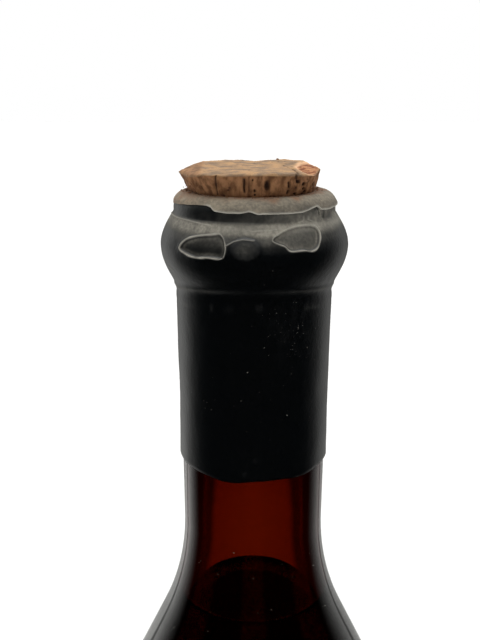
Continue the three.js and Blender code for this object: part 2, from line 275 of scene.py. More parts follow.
# An outline with points added on its long stretches
def filled(outline, spacing):
    points = []
    for a, b in zip(outline[:-1], outline[1:]):
        count = max(1, math.ceil(np.linalg.norm(b - a) / spacing))
        points += [a + (b - a) * i / count for i in range(count)]
    return np.array(points + [outline[-1]])


def around(r, z, azimuth):
    angle = np.radians(azimuth)
    return np.stack([r * np.sin(angle), -r * np.cos(angle), z + 0 * angle], axis=-1)


# Azimuths all round, with a share of them within an angle of the front
def all_round(count, front=60, share=1 / 3):
    shares = [0, (1 - share) / 2, (1 + share) / 2, 1]
    return np.interp(np.arange(count) / count, shares, [-180, -front, front, 180])[:, None]


# Columns of values for each azimuth, set side by side
def beside(*columns):
    return np.concatenate(columns, axis=1)


# A mesh round the axis from rows of points, one for each azimuth. A ring's last point joins its first,
# and otherwise both ends lie on the axis
def turned(name, points, ring, marks=None):
    rows, count = points.shape[:2]
    index = np.arange(rows * count).reshape(rows, count)
    if not ring:
        index[:, 0] = index[0, 0]
        index[:, -1] = index[0, -1]
    ahead = np.roll(index, -1, axis=0)
    quads = np.stack([index, ahead, np.roll(ahead, -1, axis=1), np.roll(index, -1, axis=1)], axis=-1)
    if not ring:
        quads = quads[:, :-1]
    used, compact = np.unique(quads, return_inverse=True)
    faces = [list(dict.fromkeys(face)) for face in compact.reshape(-1, 4).tolist()]
    mesh = bpy.data.meshes.new(name)
    mesh.from_pydata((points.reshape(-1, 3)[used] * MM).tolist(), [], faces)
    mesh.polygons.foreach_set("use_smooth", np.ones(len(faces), bool))
    for mark_name, values in (marks or {}).items():
        attribute = mesh.attributes.new(mark_name, "FLOAT", "POINT")
        attribute.data.foreach_set("value", np.clip(values, 0, 1).reshape(-1)[used].astype(np.float32))
    mesh.update()
    return shown(name, mesh)


def shown(name, mesh):
    made = bpy.data.objects.new(name, mesh)
    bpy.context.scene.collection.objects.link(made)
    return made


def dress(piece, paint, slot, *nodes):
    piece.data.materials.append(paint)
    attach(piece, "root")
    if nodes:
        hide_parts(*nodes)


# Node helpers
def material(name):
    made = bpy.data.materials.new(name)
    made.use_nodes = True
    return made, made.node_tree, made.node_tree.nodes["Principled BSDF"]


def feed(tree, socket, value):
    if isinstance(value, bpy.types.NodeSocket):
        tree.links.new(value, socket)
    else:
        socket.default_value = value


def math_node(tree, operation, a, b=0.5, clamp=False):
    node = tree.nodes.new("ShaderNodeMath")
    node.operation = operation
    node.use_clamp = clamp
    feed(tree, node.inputs[0], a)
    feed(tree, node.inputs[1], b)
    return node.outputs[0]


def blend(tree, share, a, b):
    node = tree.nodes.new("ShaderNodeMix")
    node.data_type = "RGBA"
    feed(tree, node.inputs[0], share)
    feed(tree, node.inputs[6], a)
    feed(tree, node.inputs[7], b)
    return node.outputs[2]


def mix_value(tree, share, a, b):
    node = tree.nodes.new("ShaderNodeMix")
    feed(tree, node.inputs[0], share)
    feed(tree, node.inputs[2], a)
    feed(tree, node.inputs[3], b)
    return node.outputs[0]


def ranged(tree, value, low, high, to_low=0.0, to_high=1.0):
    node = tree.nodes.new("ShaderNodeMapRange")
    node.interpolation_type = "SMOOTHSTEP"
    feed(tree, node.inputs["Value"], value)
    for socket, number in zip(("From Min", "From Max", "To Min", "To Max"), (low, high, to_low, to_high)):
        node.inputs[socket].default_value = number
    return node.outputs[0]


# Places on a piece in metres, stretched along each axis
def places(tree, stretch=(1, 1, 1)):
    mapping = tree.nodes.new("ShaderNodeMapping")
    mapping.inputs["Scale"].default_value = stretch
    tree.links.new(tree.nodes.new("ShaderNodeTexCoord").outputs["Object"], mapping.inputs["Vector"])
    return mapping.outputs[0]


def cloud(tree, size, detail=4, stretch=(1, 1, 1)):
    node = tree.nodes.new("ShaderNodeTexNoise")
    node.inputs["Scale"].default_value = 1 / (size * MM)
    node.inputs["Detail"].default_value = detail
    tree.links.new(places(tree, stretch), node.inputs["Vector"])
    return node.outputs["Fac"]


# Small round specks, a share of the cells of one size
def specks(tree, size, radius, share):
    node = tree.nodes.new("ShaderNodeTexVoronoi")
    node.inputs["Scale"].default_value = 1 / (size * MM)
    tree.links.new(places(tree), node.inputs["Vector"])
    near = ranged(tree, node.outputs["Distance"], radius, radius * 0.4)
    split = tree.nodes.new("ShaderNodeSeparateColor")
    tree.links.new(node.outputs["Color"], split.inputs[0])
    kept = math_node(tree, "LESS_THAN", split.outputs[0], share)
    return math_node(tree, "MULTIPLY", near, kept)


def mark(tree, name):
    node = tree.nodes.new("ShaderNodeAttribute")
    node.attribute_name = name
    return node.outputs["Fac"]


def bump(tree, shader, height, distance):
    node = tree.nodes.new("ShaderNodeBump")
    node.inputs["Distance"].default_value = distance * MM
    tree.links.new(height, node.inputs["Height"])
    tree.links.new(node.outputs[0], shader.inputs["Normal"])


def absorb(tree, colour, density):
    node = tree.nodes.new("ShaderNodeVolumeAbsorption")
    node.inputs["Color"].default_value = (*colour, 1)
    node.inputs["Density"].default_value = density
    tree.links.new(node.outputs[0], tree.nodes["Material Output"].inputs["Volume"])


def glass_material():
    made, tree, shader = material("amber_glass")
    shader.inputs["Transmission Weight"].default_value = 1.0
    shader.inputs["IOR"].default_value = 1.5
    film = cloud(tree, 14, 5)
    feed(tree, shader.inputs["Roughness"], ranged(tree, film, 0.5, 0.8, 0.0, 0.05))
    feed(tree, shader.inputs["Base Color"], blend(tree, film, (1, 1, 1, 1), (0.96, 0.95, 0.93, 1)))
    absorb(tree, GLASS_TINT, GLASS_DENSITY)
    return made


def wine_material():
    made, tree, shader = material("red_wine")
    shader.inputs["Transmission Weight"].default_value = 1.0
    shader.inputs["IOR"].default_value = 1.34
    shader.inputs["Roughness"].default_value = 0.0
    depth = cloud(tree, 30, 2)
    feed(tree, shader.inputs["Base Color"], blend(tree, depth, (1, 0.9, 0.9, 1), (0.9, 0.7, 0.7, 1)))
    absorb(tree, WINE_TINT, WINE_DENSITY)
    return made


# The capsule's skin: black and satin where clean, grey and matt where the dust mark says so; besides dust,
# that mark holds painted light and painted shade
def capsule_material(name, skin, dust, grime, relief):
    made, tree, shader = material(name)
    fine = cloud(tree, 0.5, 4)
    broad = cloud(tree, 4, 5)
    grain = math_node(tree, "MULTIPLY", ranged(tree, fine, 0.25, 0.75, 0.7, 1.15),
                      ranged(tree, broad, 0.25, 0.75, 0.6, 1.15))
    dust_and_painted_light = math_node(tree, "MULTIPLY", mark(tree, "dust"), grain, clamp=True)
    spotted = math_node(tree, "MAXIMUM", specks(tree, 1.3, 0.11, 0.2), specks(tree, 3.1, 0.07, 0.3))
    spotted = math_node(tree, "MULTIPLY", spotted, ranged(tree, broad, 0.45, 0.7))
    dust_and_painted_light = math_node(tree, "MAXIMUM", dust_and_painted_light, math_node(tree, "MULTIPLY", spotted, 0.45))
    colour = blend(tree, dust_and_painted_light, (*skin, 1), (*dust, 1))
    grimy = math_node(tree, "MULTIPLY", mark(tree, "crumbs"), grain, clamp=True)
    colour = blend(tree, grimy, colour, (*grime, 1))
    colour = blend(tree, mark(tree, "rim"), colour, (0.56, 0.53, 0.46, 1))
    # Dark cracks, and a painted shadow just inside the blister rims
    colour = blend(tree, mark(tree, "crack_and_painted_shadow"), colour, (0.006, 0.006, 0.006, 1))
    feed(tree, shader.inputs["Base Color"], colour)
    rough = math_node(tree, "MAXIMUM", dust_and_painted_light, mark(tree, "rim"))
    rough = math_node(tree, "MAXIMUM", rough, mark(tree, "matt"))
    feed(tree, shader.inputs["Roughness"], ranged(tree, rough, 0.0, 0.5, 0.36, 0.85))
    shader.inputs["Specular IOR Level"].default_value = 0.55
    bump(tree, shader, math_node(tree, "ADD", fine, broad), relief)
    return made


def cork_material():
    made, tree, shader = material("old_cork")
    grain = cloud(tree, 1.0, 6, (1, 1, 0.55))
    spots = cloud(tree, 2.8, 7)
    fine = cloud(tree, 0.35, 4)
    side = blend(tree, ranged(tree, grain, 0.3, 0.7), (0.14, 0.06, 0.025, 1), (0.4, 0.196, 0.09, 1))
    side = blend(tree, ranged(tree, spots, 0.62, 0.72, 0, 0.6), side, (0.46, 0.22, 0.1, 1))
    top = blend(tree, ranged(tree, spots, 0.36, 0.62), (0.27, 0.185, 0.12, 1), (0.52, 0.31, 0.155, 1))
    top = blend(tree, ranged(tree, fine, 0.5, 0.75, 0, 0.6), top, (0.27, 0.19, 0.13, 1))
    top = blend(tree, ranged(tree, fine, 0.4, 0.28, 0, 0.7), top, (0.2, 0.11, 0.06, 1))
    colour = blend(tree, mark(tree, "top"), side, top)
    crumbly = ranged(tree, cloud(tree, 0.9, 5), 0.4, 0.6)
    fresh = blend(tree, crumbly, (0.22, 0.07, 0.028, 1), (0.55, 0.26, 0.12, 1))
    colour = blend(tree, mark(tree, "fresh"), colour, fresh)
    colour = blend(tree, mark(tree, "edge"), colour, (0.82, 0.51, 0.3, 1))
    # Dark pores, and painted shade in the slits, pits and the top crack
    pocks = math_node(tree, "MULTIPLY", specks(tree, 1.1, 0.28, 0.35), 0.6)
    pores_and_painted_shade = math_node(tree, "MAXIMUM", mark(tree, "painted_hollow_shade"), pocks)
    colour = blend(tree, pores_and_painted_shade, colour, (0.035, 0.016, 0.009, 1))
    feed(tree, shader.inputs["Base Color"], colour)
    feed(tree, shader.inputs["Roughness"], ranged(tree, fine, 0.2, 0.8, 0.75, 0.95))
    shader.inputs["Specular IOR Level"].default_value = 0.25
    bump(tree, shader, math_node(tree, "ADD", fine, grain), 0.15)
    return made


def grain_material(name, dark, light):
    made, tree, shader = material(name)
    feed(tree, shader.inputs["Base Color"], blend(tree, cloud(tree, 0.4, 3), (*dark, 1), (*light, 1)))
    shader.inputs["Roughness"].default_value = 0.9
    return made


# Bottle
cone = math.radians(CONE_ANGLE)
cone_top_r = NECK_RADIUS + FLARE_RADIUS * (1 - math.cos(cone))
cone_top_z = FLARE_Z - FLARE_RADIUS * math.sin(cone)
cone_foot_r = BODY_RADIUS - SHOULDER_RADIUS * (1 - math.cos(cone))
cone_foot_z = cone_top_z - (cone_foot_r - cone_top_r) / math.tan(cone)
BODY_TOP_Z = cone_foot_z - SHOULDER_RADIUS * math.sin(cone)


def shoulder_line(inset):
    shoulder = arc(BODY_RADIUS - SHOULDER_RADIUS, BODY_TOP_Z, SHOULDER_RADIUS - inset,
                   0, CONE_ANGLE, SHOULDER_STEPS)
    flare = arc(NECK_RADIUS + FLARE_RADIUS, FLARE_Z, FLARE_RADIUS + inset,
                180 + CONE_ANGLE, 180, FLARE_STEPS)
    return np.concatenate([shoulder, flare])


def punt_line(foot_radius, floor_z):
    r = np.linspace(0, foot_radius, 21)
    return np.stack([r, floor_z + PUNT_HEIGHT * (1 + np.cos(np.pi * r / foot_radius)) / 2], axis=1)


# Inside of the bottle from the axis up to the neck, moved into the glass by a distance
def inside_line(overlap):
    r = BODY_RADIUS - WALL + overlap
    floor_z = BASE_THICKNESS - overlap
    heel = arc(r - INNER_HEEL_RADIUS, floor_z + INNER_HEEL_RADIUS, INNER_HEEL_RADIUS, -90, 0, 10)
    punt = punt_line(r - INNER_HEEL_RADIUS, floor_z)
    return np.concatenate([punt, heel[1:], shoulder_line(WALL - overlap)])


# Outside of the capsule up to the foot of the lip, from below its foot
def capsule_line():
    down = np.linspace(0, 1, 37)
    up = np.linspace(0, 1, 61)
    lower = np.stack([CREASE_RADIUS + (BULGE_RADIUS - CREASE_RADIUS) * np.cos(np.pi / 2 * down),
                      BULGE_Z + (CREASE_Z - BULGE_Z) * down], axis=1)
    upper = np.stack([LIP_RADIUS + (BULGE_RADIUS - LIP_RADIUS) * np.cos(np.pi / 2 * up),
                      BULGE_Z + (LIP_FOOT_Z - BULGE_Z) * up], axis=1)
    neck = np.array([(SKIRT_RADIUS, SLEEVE_FOOT_Z), (SKIRT_RADIUS, SKIRT_Z), (CREASE_RADIUS, CREASE_Z)])
    return np.concatenate([filled(neck, 0.62)[:-1], lower[::-1], upper[1:]])


# How far a height takes part in the crease's rise towards the front and the back
def crease_share(z):
    return np.interp(z, [SKIRT_Z, CREASE_Z, BULGE_Z], [0, 1, 0])


def lip_line(inset, start, end, steps):
    return arc(LIP_RADIUS - LIP_ROUND, LIP_ROUND_Z, LIP_ROUND - inset, start, end, steps)


def glass_bottle():
    under_cover = capsule_line()[::3] - (COVER, 0)
    under_cover[:, 1] += CREASE_RISE * crease_share(under_cover[:, 1])
    mouth = arc(BORE_RADIUS + MOUTH_ROUND, GLASS_TOP_Z - MOUTH_ROUND, MOUTH_ROUND, 90, 180, 6)
    outline = filled(np.concatenate([
        punt_line(PUNT_RADIUS, 0),
        arc(BODY_RADIUS - HEEL_RADIUS, HEEL_RADIUS, HEEL_RADIUS, -90, 0, 10),
        shoulder_line(0),
        under_cover,
        lip_line(COVER, 0, 90, 8),
        mouth,
        [(BORE_RADIUS, GLASS_TOP_Z - BORE_DEPTH)],
        inside_line(0)[::-1],
    ]), 4)
    azimuth = all_round(GLASS_ROUND)
    points = around(outline[:, 0], outline[:, 1], azimuth)
    wave = GLASS_WAVE * noise(points * (1, 1, 0.5), 16) * np.minimum(1, outline[:, 0] / 10)
    return turned("glass_bottle", around(outline[:, 0] + wave, outline[:, 1], azimuth), ring=False)


def wine_fill():
    wall = inside_line(WINE_OVERLAP)
    top_z = WINE_LEVEL + MENISCUS_RISE
    below = filled(wall[wall[:, 1] < top_z], 5)
    flare = wall[-FLARE_STEPS - 1:]
    wall_r = np.interp(top_z, flare[:, 1], flare[:, 0])
    r = wall_r * (1 - np.linspace(0, 1, 25) ** 2)
    surface = np.stack([r, WINE_LEVEL + MENISCUS_RISE * np.exp((r - wall_r) / MENISCUS_WIDTH)], axis=1)
    outline = np.concatenate([below, surface])
    return turned("wine_fill", around(outline[:, 0], outline[:, 1], all_round(WINE_ROUND)), ring=False)


# Nearest distance of points on an unrolled skin to a line
def line_distance(u, v, line):
    nearest = np.full(u.shape, np.inf)
    for (ua, va), (ub, vb) in zip(line[:-1], line[1:]):
        along = ((u - ua) * (ub - ua) + (v - va) * (vb - va)) / ((ub - ua) ** 2 + (vb - va) ** 2)
        along = np.clip(along, 0, 1)
        nearest = np.minimum(nearest, np.hypot(u - ua - along * (ub - ua), v - va - along * (vb - va)))
    return nearest


def inside_loop(u, v, loop):
    inside = np.zeros(u.shape, bool)
    for (ua, va), (ub, vb) in zip(loop[:-1], loop[1:]):
        crosses = (va > v) != (vb > v)
        inside ^= crosses & (u < ua + (ub - ua) * (v - va) / ((vb - va) or 1))
    return inside


def unrolled(corners):
    line = np.array(corners, float)
    line[:, 0] = np.radians(line[:, 0]) * BULGE_RADIUS
    return line


# A smooth closed line through corners
def smooth_loop(corners):
    p = np.array(corners)
    before, after, beyond = np.roll(p, 1, axis=0), np.roll(p, -1, axis=0), np.roll(p, -2, axis=0)
    t = np.linspace(0, 1, 6)[:-1, None, None]
    curve = p + t * (after - before) / 2 + t ** 2 * (before - 2.5 * p + 2 * after - beyond / 2) \
        + t ** 3 * (1.5 * (p - after) + (beyond - before) / 2)
    loop = np.swapaxes(curve, 0, 1).reshape(-1, 2)
    return np.concatenate([loop, loop[:1]])


def bell(distance, width):
    return np.exp(-(distance / width) ** 2)


# Height of an uneven edge, with its corners rounded over a few degrees
def edge_height(azimuth, edge, rounding):
    near = np.linspace(-rounding, rounding, 9)
    return np.interp(azimuth + near, *np.array(edge).T, period=360).mean(axis=1, keepdims=True)


def capsule_sleeve():
    azimuth = all_round(SLEEVE_ROUND, 60, 0.66)
    outside = np.concatenate([capsule_line(), lip_line(0, 4, SLEEVE_END_ANGLE, 14)])
    along = np.gradient(outside, axis=0)
    normal = np.stack([along[:, 1], -along[:, 0]], axis=1) / np.linalg.norm(along, axis=1, keepdims=True)
    z = outside[:, 1]
    closeness = np.cos(np.radians(azimuth)) ** 2
    foot_share = np.interp(z, [SLEEVE_FOOT_Z, SLEEVE_FOOT_Z + FOOT_REACH], [1, 0])
    lift = edge_height(azimuth, FOOT_EDGE, FOOT_ROUNDING) - SLEEVE_FOOT_Z
    high = z + CREASE_RISE * closeness * crease_share(z) + foot_share * lift
    skirt_share = np.interp(z, [SLEEVE_FOOT_Z, SLEEVE_FOOT_Z + SKIRT_REACH], [1, 0])
    stand = SKIRT_STAND * step(np.abs(azimuth), 70, 110) * skirt_share
    wide = outside[:, 0] + stand
    points = around(wide, high, azimuth)

    # Relief of the skin
    streaks = noise(points * (1, 1, 0.12), 3.5) * step(-high, -CREASE_Z, -SKIRT_Z)
    relief = 0.05 * rough_noise(points, 7) + 0.05 * streaks + 0.008 * noise(points, 0.9)
    over_crease = high - (CREASE_Z + CREASE_RISE * closeness)
    relief += 0.28 * (1 - 0.6 * closeness) * bell(over_crease, 0.45)
    relief -= 0.12 * bell(over_crease + 1.1, 0.5)
    relief -= 0.04 * bell(over_crease + SPECK_RING_DROP, 0.3)
    u = np.radians(azimuth) * BULGE_RADIUS + 0 * high
    wander = 0.1 * noise(points, 1.1, 9.1)
    rim = np.zeros(high.shape)
    up = normal[:, 1]
    dust = 0.05 * step(up, 0.1, 0.3) + 0.2 * step(up, 0.28, 0.45) + 1.15 * step(up, 0.44, 0.535)
    # Painted shade: the dust fades away from the front, so the sides are darker
    dust = dust * (0.42 + 0.58 * bell(azimuth - 5, 38))
    dust += 0.25 * noise(points, 3.0, 2.2) * dust
    crack_and_painted_shadow = np.zeros(high.shape)
    for corners, inner_dust in ((LEFT_BLISTER, 0.04 + 0.2 * step(high, 287, 289.3)), (RIGHT_BLISTER, 0.3)):
        loop = smooth_loop(unrolled(corners))
        distance = line_distance(u, high, loop) + wander * 0.6
        inside = inside_loop(u, high, loop)
        sunk = np.where(inside, step(distance, 0.05, 0.5), 0)
        swelling = np.where(inside, 0, 0.12 * bell(distance, 0.8))
        relief += 0.22 * bell(distance, 0.15) + swelling - 0.16 * sunk
        rim = np.maximum(rim, 0.85 * bell(distance, 0.1))
        dust = dust * (1 - sunk) + sunk * inner_dust
        dust += 0.2 * np.where(inside, bell(distance - 0.5, 0.3), 0)
        # Painted shadow: a dark line just inside each blister's rim, where the sunk inside meets it
        crack_and_painted_shadow = np.maximum(crack_and_painted_shadow, 0.6 * np.where(inside, bell(distance - 0.26, 0.1), 0))
    blister = WHOLE_BLISTER
    offset = np.hypot((u - math.radians(blister["azimuth"]) * BULGE_RADIUS) / blister["half_width"],
                      (high - blister["z"]) / blister["half_height"])
    dome = ease(1.25 - offset)
    relief += blister["rise"] * dome + 0.08 * dome * noise(points, 0.8, 3.3)
    dust *= 1 - 0.9 * step(1.35 - offset, 0, 0.3)
    dust += 0.2 * ease(1.1 - offset) * (0.7 + 0.3 * noise(points, 0.6, 5.2))
    for fold in FOLDS:
        distance = line_distance(u, high, unrolled(fold)) + np.abs(wander) * 0.3
        relief += 0.1 * bell(distance, 0.13)
        rim = np.maximum(rim, 0.5 * bell(distance, 0.09))
    for line in CRACKS:
        torn = bell(line_distance(u, high, unrolled(line)), 0.16)
        crack_and_painted_shadow = np.maximum(crack_and_painted_shadow, torn)
        relief -= 0.15 * torn

    # Where the cap tore away, the skin under it is clean
    bare = step(azimuth, -88, -70) * step(-azimuth, 0, 34) * step(high, *BARE_BAND)
    band = step(high, *UNDER_CAP_BAND)
    left_over = (0.2 + 0.32 * step(azimuth, 0, 35)) * (1 + 0.7 * noise(points, 0.9, 8.8))
    dust = dust * (1 - band) + left_over * band * (1 - 0.85 * bare)
    light_band = 0.25 * bell(high - DUST_Z, 0.7) * step(azimuth, -34, -10)
    rim = np.maximum(rim, light_band * (0.8 + 0.4 * noise(points, 1.4)))
    # Painted sheen: a light line along the crease's ridge, strong towards the sides and faint at the front
    dust += 0.4 * bell(over_crease, 0.35) * (1 - 0.97 * closeness) * (0.6 + 0.4 * noise(points, 2, 6.5))
    haze = sum(strength * bell(azimuth - middle, half) * bell(high - middle_z, half_height)
               for middle, half, middle_z, half_height, strength in HAZE)
    dust += 0.02 * haze * step(rough_noise(points, 1.1), -0.6, 1.0)
    dust += 0.1 * bell(over_crease + SPECK_RING_DROP, 0.3) * step(noise(points, 1.2, 1.4), 0.1, 0.6)
    blotches = step(rough_noise(points * (1, 1, 0.6), 0.9), 0, 0.9)
    dust += 0.05 * bell(azimuth + 3, 9) * bell(high - SMEAR_Z, 2.2) * blotches
    wide = wide + relief * normal[:, 0]
    high = high + relief * normal[:, 1]

    # The inside follows the plain outline with fewer points
    bends = [np.argmin(np.abs(z - bend_z)) for bend_z in (SKIRT_Z, CREASE_Z, LIP_FOOT_Z)]
    some = np.unique([*np.linspace(0, len(outside) - 1, 22).astype(int), *bends])[::-1]
    inner_r = outside[some, 0] - SLEEVE_THICKNESS + stand[:, some] + 0 * azimuth
    inner_z = points[:, some, 2]
    blank = np.zeros(inner_r.shape)
    skin = around(beside(wide, inner_r), beside(high, inner_z), azimuth)
    marks = {"dust": dust, "rim": rim, "crack_and_painted_shadow": crack_and_painted_shadow, "matt": dome, "crumbs": 0 * rim}
    marks = {name: beside(values, blank) for name, values in marks.items()}
    return turned("capsule_sleeve", skin, True, marks)


def cork_base(azimuth):
    return CORK_BASE_RADIUS - CORK_LEAN * np.sin(np.radians(azimuth))


def capsule_cap():
    azimuth = all_round(CAP_EDGE_ROUND, 60, 0.6)
    ragged = around(LIP_RADIUS, LIP_ROUND_Z, azimuth)
    edge = edge_height(azimuth, TORN_EDGE, TORN_ROUNDING) + 0.05 * rough_noise(ragged, 1.6)
    start = np.arcsin((edge - LIP_ROUND_Z) / CAP_ROUND)
    share = np.linspace(0, 1, CAP_ROWS) ** 1.3
    angle = start + (np.pi / 2 - start) * share
    centre_r = LIP_RADIUS - LIP_ROUND
    round_r = centre_r + CAP_ROUND * np.cos(angle)
    round_z = LIP_ROUND_Z + CAP_ROUND * np.sin(angle)
    from_edge = (angle - start) * CAP_ROUND
    right = step(azimuth, -40, -30)
    curl = (0.3 * right - 0.2) * bell(from_edge, 0.45)
    round_r = round_r + curl * np.cos(angle)
    round_z = round_z + curl * np.sin(angle)
    hole = cork_base(azimuth) + CORK_CLEARANCE * 0.3
    flat_share = np.linspace(0, 1, 8)[1:]
    flat_r = centre_r + (hole - centre_r) * flat_share
    flat_z = CAP_TOP_Z + 0 * flat_r
    outer = around(beside(round_r, flat_r), beside(round_z, flat_z), azimuth)
    lumps = 0.07 * rough_noise(outer, 5) + 0.04 * rough_noise(outer, 1.1)
    fade = beside(np.ones(round_z.shape), 1 - flat_share + 0 * flat_r)
    outer[..., 2] += lumps * fade
    inner_share = np.linspace(1, 0, 12)
    inner_angle = start + (np.pi / 2 - start) * inner_share
    inner_r = centre_r + (LIP_ROUND + FIT * 0.5) * np.cos(inner_angle) + 0.1 * bell(inner_share, 0.15)
    inner_z = LIP_ROUND_Z + (LIP_ROUND + FIT * 0.5) * np.sin(inner_angle)
    inner = around(beside(hole, inner_r), beside(inner_z[:, :1], inner_z), azimuth)
    skin = beside(outer, inner)
    blank = np.zeros(inner.shape[:2])
    rim = bell(from_edge, 0.2) * (0.85 + 0.3 * noise(outer[:, :CAP_ROWS], 1.5)) * (0.1 + 0.9 * right)
    rim = beside(rim, 0 * flat_r, blank)
    rim[:, -1:] = right
    radius = np.hypot(outer[..., 0], outer[..., 1])
    reach = 2.6 + 1.2 * noise(outer, 2.0, 5.5) + step(-azimuth, 15, 50)
    crumbs = step(reach - (radius - hole), 0, 2.0)
    crumbs *= 0.75 + 0.25 * noise(outer, 1.0, 7.1)
    steep = step(beside(angle, np.pi / 2 + 0 * flat_r), 0.1, 1.2)
    # Dust, heavier towards the cap's top; the extra share on the left is painted light, where more light
    # falls
    dust = 0.4 + 0.36 * steep + 0.2 * noise(outer, 4, 3.9) + 0.35 * step(-azimuth, 0, 45)
    marks = {"dust": beside(dust, blank), "rim": rim, "crumbs": beside(crumbs, blank)}
    marks["crack_and_painted_shadow"] = 0 * rim
    marks["matt"] = 0 * rim + 1
    return turned("capsule_cap", skin, True, marks)


# Radius and dip of the cork's rim, along straight sides between its corners
def cork_rim(azimuth):
    radius = np.zeros(azimuth.shape)
    dip = np.zeros(azimuth.shape)
    for a, b in zip(CORK_CORNERS, CORK_CORNERS[1:] + CORK_CORNERS[:1]):
        side = (b[0] - a[0]) % 360
        turn = (azimuth - a[0]) % 360
        here = turn < side
        whole, part = np.radians(side), np.radians(turn)
        straight = a[1] * b[1] * np.sin(whole) / (a[1] * np.sin(part) + b[1] * np.sin(whole - part))
        radius = np.where(here, straight, radius)
        dip = np.where(here, a[2] + (b[2] - a[2]) * turn / side, dip)
    return radius, dip


# Top of the cork by its share of the rim's radius
def cork_top(x, share, dip, sharpness=5):
    level = CORK_TOP_Z - CORK_SAG * (1 - step(share, 0.5, 1)) - dip * share ** sharpness
    facet = CORK_TOP_Z + LEFT_FACET_SLOPE * np.minimum(0, x - LEFT_FACET_X) - 0.05
    return np.minimum(level, facet)


def cork_plug():
    azimuth = all_round(CORK_ROUND, 70, 0.6)
    rim_r, dip = cork_rim(azimuth)
    shank_r = BORE_RADIUS - CORK_CLEARANCE
    throat = arc(BORE_RADIUS + MOUTH_ROUND, GLASS_TOP_Z - MOUTH_ROUND,
                 MOUTH_ROUND + CORK_CLEARANCE, 180, 110, 4)
    shank = np.concatenate([[(0, CORK_FOOT_Z), (shank_r - CORK_BEVEL, CORK_FOOT_Z),
                             (shank_r, CORK_FOOT_Z + CORK_BEVEL)], throat])
    shank_points = around(shank[:, 0], shank[:, 1], azimuth)

    # Side of the head
    t = np.linspace(0, 1 - CORK_EDGE, 56)
    base_r = cork_base(azimuth)
    angle = np.radians(azimuth)
    rim_z = cork_top(rim_r * np.sin(angle), np.ones(azimuth.shape), dip)
    side_r = base_r + (rim_r - base_r) * t
    side_z = CAP_TOP_Z - 0.2 + (rim_z - CAP_TOP_Z + 0.2) * t
    side = around(side_r, side_z, azimuth)
    relief = 0.09 * rough_noise(side * (1, 1, 0.6), 2.2) + 0.06 * rough_noise(side, 0.7)
    width = np.radians(azimuth) * CORK_BASE_RADIUS
    tall = t * (CORK_TOP_Z - CAP_TOP_Z)
    # Painted shade in the slits, pits and the top crack: they are painted dark, a slit the darker the
    # deeper it is
    painted_hollow_shade = np.zeros(side_r.shape)
    wander = 0.25 * noise(side, 1.3, 4.4)
    for top_azimuth, top_share, foot_azimuth, foot_share, half, depth in CORK_SLITS:
        slope = (top_azimuth - foot_azimuth) / (top_share - foot_share)
        at = np.radians(foot_azimuth + slope * (t - foot_share)) * CORK_BASE_RADIUS
        within = step(t, foot_share - SLIT_FADE, foot_share + SLIT_FADE)
        within = within * step(-t, -top_share - SLIT_FADE, -top_share + SLIT_FADE)
        cut = bell(width - at + wander * 0.8, half) * within
        relief -= depth * cut
        painted_hollow_shade = np.maximum(painted_hollow_shade, cut * min(1, depth / 0.45))
    chance = np.random.default_rng(SEED)
    extra = [(chance.uniform(-180, 180), chance.uniform(0.1, 0.9), chance.uniform(0.08, 0.22),
              chance.uniform(0.1, 0.4), 0.3) for _ in range(EXTRA_PITS)]
    for pit_azimuth, share, half_w, half_h, depth in CORK_PITS + extra:
        du = (width - math.radians(pit_azimuth) * CORK_BASE_RADIUS) / half_w
        dv = (tall - share * (CORK_TOP_Z - CAP_TOP_Z)) / half_h
        cut = ease(1.6 - np.hypot(du, dv) - wander)
        relief -= depth * cut
        painted_hollow_shade = np.maximum(painted_hollow_shade, cut)
    side = around(side_r + relief, side_z, azimuth)

    # Top of the head
    share = np.linspace(1 - CORK_EDGE * 0.6, 0, 58)
    top_r = rim_r * share
    x, y = top_r * np.sin(angle), -top_r * np.cos(angle)
    broken = FRESH_BREAK
    spread = np.hypot((x - broken["x"]) / broken["half_x"], (y - broken["y"]) / broken["half_y"])
    fresh = ease((1.05 - spread) * 6)
    top = np.stack([x, y, cork_top(x, share, dip, 5 - 3 * fresh)], axis=-1)
    spread = spread + 0.08 * noise(top, 1.5, 2.8)
    crack_and_painted_shadow = 0.8 * bell(line_distance(x, y, TOP_CRACK) + 0.15 * noise(top, 1.0), 0.12)
    edge = bell(spread - 0.93, 0.14)
    relief = 0.14 * rough_noise(top, 3.4) + 0.06 * rough_noise(top, 0.8)
    relief += fresh * (0.1 * rough_noise(top, 0.9) - broken["depth"] * (1 - spread))
    top[..., 2] += relief * step(share, 0, 0.05) - 0.35 * crack_and_painted_shadow
    points = beside(shank_points, side, top)
    blank = np.zeros(shank_points.shape[:2])
    none = np.zeros(side_r.shape)
    clean_top = 0.35 + 0.65 * step(x, LEFT_FACET_X - 1, LEFT_FACET_X)
    marks = {
        "top": beside(blank, none + step(t, 0.93, 0.97), clean_top),
        "painted_hollow_shade": beside(blank, painted_hollow_shade, crack_and_painted_shadow),
        "fresh": beside(blank, none, fresh),
        "edge": beside(blank, none, edge),
    }
    points[:, -1] = points[:1, -1]
    return turned("cork_plug", points, False, marks)


